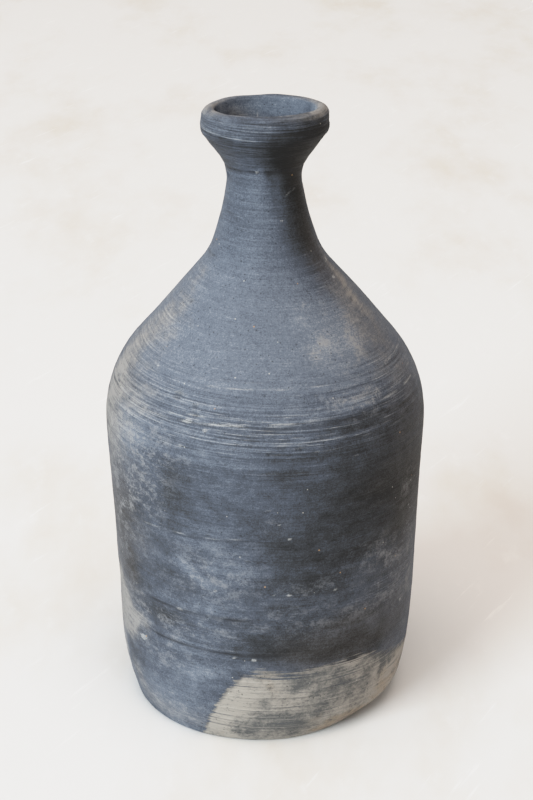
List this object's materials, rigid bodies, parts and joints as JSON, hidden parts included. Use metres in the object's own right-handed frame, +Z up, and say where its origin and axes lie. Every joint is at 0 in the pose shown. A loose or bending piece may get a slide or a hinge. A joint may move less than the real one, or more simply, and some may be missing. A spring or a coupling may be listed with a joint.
{
  "type": "black clay bottle",
  "caption": "Matte black clay bottle vase with a flared cup mouth, narrow throat, bell shoulder and near-cylindrical body on a flat base.",
  "frame": {"origin": "centre of the flat base, on the surface that the pot stands on", "axes": "+Z up along the pot's axis, -Y towards the side with the large pale patch at the foot"},
  "size_m": [0.154, 0.154, 0.3005],
  "materials": {
    "foot_clay": "matte, unglazed, partly burnt back to beige",
    "wall_clay": "matte, unglazed, reduction-fired charcoal",
    "shoulder_clay": "matte, unglazed, slate blue-grey",
    "neck_clay": "matte, unglazed, slate blue-grey"
  },
  "bodies": {
    "root": {"base_slab": "foot_clay", "foot_wall": "foot_clay", "lower_wall": "wall_clay", "upper_wall": "wall_clay", "shoulder": "shoulder_clay", "neck": "neck_clay", "mouth_cup": "neck_clay", "lip": "neck_clay"}
  },
  "joints": []
}
